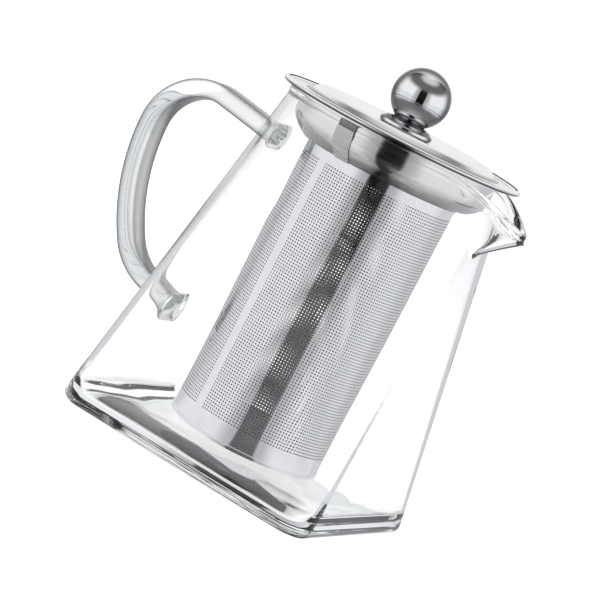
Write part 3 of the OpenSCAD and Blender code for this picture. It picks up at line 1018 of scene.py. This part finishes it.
# %% Ball
ball_flat = FOOT * 2 * 0.29
ball_z = DISH_Z + FOOT_H + math.sqrt(BALL ** 2 - ball_flat ** 2)
first = math.degrees(math.asin(-(ball_z - DISH_Z - FOOT_H) / BALL))
ball_points = arc((0.0, ball_z), BALL, steps(first, 90.0, 60))
ball_points[-1] = (0.0, ball_z + BALL)
ball_points = [(2.0, ball_points[0][1])] + ball_points
ball_points = [(0.0, ball_z + 0.5), (2.0, ball_z)] + ball_points
make_piece(spin_section(ball_points, closed=False), "knob_ball_turned", "lid", "knob_ball",
           knob_steel, crease=ROUND_CREASE)

# %% Screw
screw_low = DISH_Z - LID_THICK - 2.2
screw_top = DISH_Z + FOOT_H + BALL - 1.2
screw_head = [(0.0, 0.9), (2.2, 0.75), (3.4, 0.1), (3.75, 0.0), (3.96, 0.25), (3.96, 1.9), (3.8, 2.16),
              (1.98, 2.16)]
screw_points = [(radius, screw_low + rise) for radius, rise in screw_head]
screw_points += [(1.98, screw_top - 0.4), (1.6, screw_top), (0.0, screw_top)]
make_piece(spin_section(screw_points, closed=False, steps=64), "fixing_screw", "lid", "knob_screw",
           ring_steel)

# %% [markdown]
# ## The room
# Clear glass on white is lit from behind, so whatever is seen straight or through the glass is white. Steel
# shows what stands round it, and a plain white room would leave it without shape. So what is seen by
# reflection is a light tent: bright cloth all round, a dark slot in front, where the camera looks in, with
# greyer cloth on both sides of the slot, and dim cloth overhead with one brighter window. Its edges are soft.
# Diffuse surfaces, which here means the floor, are lit evenly. One thing is false on purpose: for rays that
# have come through glass the cloth overhead is bright, to keep the glass light.

# %% Sort the rays
VIEW_TURN = 20.9       # how far the camera stands round to the right of the front


def add_math(nodes, links, operation, *feeds):
    node = nodes.new("ShaderNodeMath")
    node.operation = operation
    for socket, feed in zip(node.inputs, feeds):
        if isinstance(feed, (int, float)):
            socket.default_value = feed
        else:
            links.new(feed, socket)
    return node.outputs[0]


def ray_kinds(nodes, links):
    path = nodes.new("ShaderNodeLightPath")
    sharp = add_math(nodes, links, "SUBTRACT", 1.0, path.outputs["Is Diffuse Ray"])
    turned_back = add_math(nodes, links, "MINIMUM", path.outputs["Glossy Depth"], 1.0)
    mirrored = add_math(nodes, links, "MULTIPLY", turned_back, sharp)
    straight = add_math(nodes, links, "MAXIMUM", path.outputs["Is Camera Ray"],
                        path.outputs["Is Transmission Ray"])
    seen = add_math(nodes, links, "SUBTRACT", straight, mirrored)
    return add_math(nodes, links, "MAXIMUM", seen, 0.0), mirrored


# %% [markdown]
# The tent isn't built from cloth. The world's colour is looked up by direction, so a share from 0 to 1 for
# each part of the tent, with a soft step at its edge, is enough to mix the brightness from one part's to the
# next. The direction is measured against the front of the room.

# %% The tent's brightness in a direction
SIDES, BACK_WALL = 1.0, 0.75
SLOT, BESIDE_SLOT = 0.012, 0.42
OVERHEAD, OVERHEAD_IN_GLASS, WINDOW = 0.15, 0.8, 0.70
HIGH_BACK = 0.96
EVEN_LIGHT = 0.45      # what diffuse surfaces get


def soft_step(nodes, links, feed, start, end):
    return spread(nodes, links, feed, start, end, interpolation="SMOOTHSTEP")


def blend(nodes, links, share, low, high):
    gain = add_math(nodes, links, "SUBTRACT", high, low)
    return add_math(nodes, links, "MULTIPLY_ADD", share, gain, low)


def look_round(nodes, links, vector):
    apart = nodes.new("ShaderNodeSeparateXYZ")
    links.new(vector, apart.inputs[0])
    x, y, z = apart.outputs
    front_x, front_y = math.sin(rad(VIEW_TURN)), -math.cos(rad(VIEW_TURN))
    along = add_math(nodes, links, "MULTIPLY", x, front_x)
    along = add_math(nodes, links, "MULTIPLY_ADD", y, front_y, along)
    square = add_math(nodes, links, "MULTIPLY", x, x)
    square = add_math(nodes, links, "MULTIPLY_ADD", y, y, square)
    flat = add_math(nodes, links, "SQRT", square)
    ahead = add_math(nodes, links, "DIVIDE", along, flat)
    return ahead, flat, z


def tent_wall(nodes, links, ahead, slot_shade, beside):
    wall = blend(nodes, links, soft_step(nodes, links, ahead, -0.15, -0.60), SIDES, BACK_WALL)
    wall = blend(nodes, links, soft_step(nodes, links, ahead, 0.76, 0.955), wall, beside)
    return blend(nodes, links, soft_step(nodes, links, ahead, 0.956, 0.972), wall, slot_shade)


def make_world():
    world = bpy.data.worlds.new("light_tent")
    scene.world = world
    world.use_nodes = True
    nodes, links = world.node_tree.nodes, world.node_tree.links
    place = nodes.new("ShaderNodeTexCoord")
    ahead, flat, up = look_round(nodes, links, place.outputs["Generated"])
    room = tent_wall(nodes, links, ahead, SLOT, BESIDE_SLOT)
    path = nodes.new("ShaderNodeLightPath")
    through_glass = add_math(nodes, links, "MINIMUM", path.outputs["Transmission Depth"], 1.0)
    overhead = blend(nodes, links, through_glass, OVERHEAD, OVERHEAD_IN_GLASS)
    room = blend(nodes, links, soft_step(nodes, links, up, 0.40, 0.68), room, overhead)
    room = blend(nodes, links, soft_step(nodes, links, up, 0.84, 0.98), room, WINDOW)
    behind = soft_step(nodes, links, ahead, -0.62, -0.70)
    behind = add_math(nodes, links, "MULTIPLY", behind, soft_step(nodes, links, up, 0.02, 0.10))
    room = blend(nodes, links, behind, room, HIGH_BACK)
    seen, mirrored = ray_kinds(nodes, links)
    plain = blend(nodes, links, seen, EVEN_LIGHT, 1.0)
    back = nodes["Background"]
    back.inputs["Color"].default_value = (1.0, 1.0, 1.0, 1.0)
    links.new(blend(nodes, links, mirrored, plain, room), back.inputs["Strength"])
    world.cycles.sampling_method = "NONE"


make_world()


# %% [markdown]
# The floor is one large pale disc, just below the foot. Where it is seen, a little light of its own brings it
# up to white, less of it near the pot than far off. A mirrored ray finds the tent's light on it instead, or
# the steel would reflect a flat white sheet from below.

# %% Floor
TABLE_RADIUS = 6.0
TABLE_DROP = 0.0004    # the disc lies this far below the foot, in metres
TABLE_GLOW = (0.50, 0.66)
TABLE_SLOT = (0.05, 0.008)
TABLE_BESIDE = 0.55
TABLE_TENT = (0.84, 0.85, 0.89, 1.0)


def make_floor():
    bm = bmesh.new()
    bmesh.ops.create_circle(bm, cap_ends=True, segments=96, radius=TABLE_RADIUS)
    bmesh.ops.translate(bm, vec=(0, 0, -TABLE_DROP), verts=bm.verts)
    mesh = bpy.data.meshes.new("floor")
    bm.to_mesh(mesh)
    bm.free()
    floor = bpy.data.objects.new("floor", mesh)
    scene.collection.objects.link(floor)
    material, nodes, links, shader, output = new_material("pale_floor")
    shader.inputs["Base Color"].default_value = (0.85, 0.85, 0.85, 1.0)
    shader.inputs["Roughness"].default_value = 1.0
    shader.inputs["Specular IOR Level"].default_value = 0.0
    seen, mirrored = ray_kinds(nodes, links)
    glow = nodes.new("ShaderNodeEmission")
    plain = nodes.new("ShaderNodeAddShader")
    links.new(shader.outputs[0], plain.inputs[0])
    links.new(glow.outputs[0], plain.inputs[1])
    place = nodes.new("ShaderNodeTexCoord")
    ahead, away, up = look_round(nodes, links, place.outputs["Object"])
    level = blend(nodes, links, soft_step(nodes, links, away, 0.10, 0.45), *TABLE_GLOW)
    links.new(add_math(nodes, links, "MULTIPLY", seen, level), glow.inputs["Strength"])
    far = soft_step(nodes, links, away, 0.12, 0.26)
    slot_shade = blend(nodes, links, far, *TABLE_SLOT)
    tent = nodes.new("ShaderNodeEmission")
    tent.inputs["Color"].default_value = TABLE_TENT
    links.new(tent_wall(nodes, links, ahead, slot_shade, TABLE_BESIDE), tent.inputs["Strength"])
    both = nodes.new("ShaderNodeMixShader")
    links.new(mirrored, both.inputs[0])
    links.new(plain.outputs[0], both.inputs[1])
    links.new(tent.outputs[0], both.inputs[2])
    links.new(both.outputs[0], output.inputs["Surface"])
    material.cycles.emission_sampling = "NONE"
    floor.data.materials.append(material)


make_floor()


# %% [markdown]
# Three large, soft lamps light the floor. They are hidden from mirrored and refracted rays, or their
# rectangles would show in the ball and the glass, so the steel is lit by the tent alone.

# %% Lamps
def soft_lamp(name, place, aim, size, power):
    light = bpy.data.lights.new(name, "AREA")
    light.shape = "RECTANGLE"
    light.size, light.size_y = size
    light.energy = power
    lamp = bpy.data.objects.new(name, light)
    scene.collection.objects.link(lamp)
    lamp.location = place
    lamp.rotation_euler = (Vector(place) - Vector(aim)).to_track_quat("Z", "Y").to_euler()
    lamp.visible_glossy = False
    lamp.visible_transmission = False


middle = Vector((0.0, 0.0, 0.07))
soft_lamp("key", (-0.75, -0.75, 0.75), middle, (0.5, 0.7), 5.0)
soft_lamp("fill", (0.95, -0.45, 0.55), middle, (0.5, 0.7), 4.0)
soft_lamp("top", (0.1, 0.35, 1.0), middle, (0.8, 0.6), 5.0)

# %% [markdown]
# ## The camera
# A long lens stands nearly a metre away, a little right of the front and a few degrees above the table. It
# is rolled well over, so that the pot leans in the picture.

# %% Camera
CAMERA_EL = 7.52
CAMERA_ROLL = 27.07
DISTANCE = 0.9
LENS = 165.8
AIM_ASIDE = -0.0052
AIM_HEIGHT = 0.05945
lens_data = bpy.data.cameras.new("camera")
lens_data.sensor_width = 36.0
lens_data.lens = LENS
lens_data.clip_end = 50.0
camera = bpy.data.objects.new("camera", lens_data)
scene.collection.objects.link(camera)
facing = Matrix.Rotation(rad(VIEW_TURN), 4, "Z") @ Matrix.Rotation(rad(90.0 - CAMERA_EL), 4, "X")
across = facing @ Vector((1, 0, 0))
back = facing @ Vector((0, 0, 1))
spot = across * AIM_ASIDE + Vector((0, 0, AIM_HEIGHT)) + back * DISTANCE
camera.matrix_world = Matrix.Translation(spot) @ facing @ Matrix.Rotation(rad(CAMERA_ROLL), 4, "Z")
scene.camera = camera
print("camera at", [round(c, 3) for c in spot])

# %% [markdown]
# ## Finish
# Light has to pass many glass faces before it leaves the pot, so the number of bounces is raised.

# %% Finish
scene.view_settings.view_transform = "Standard"
scene.cycles.max_bounces = 24
scene.cycles.transmission_bounces = 24
scene.cycles.transparent_max_bounces = 32
scene.cycles.glossy_bounces = 12
scene.cycles.use_denoising = True
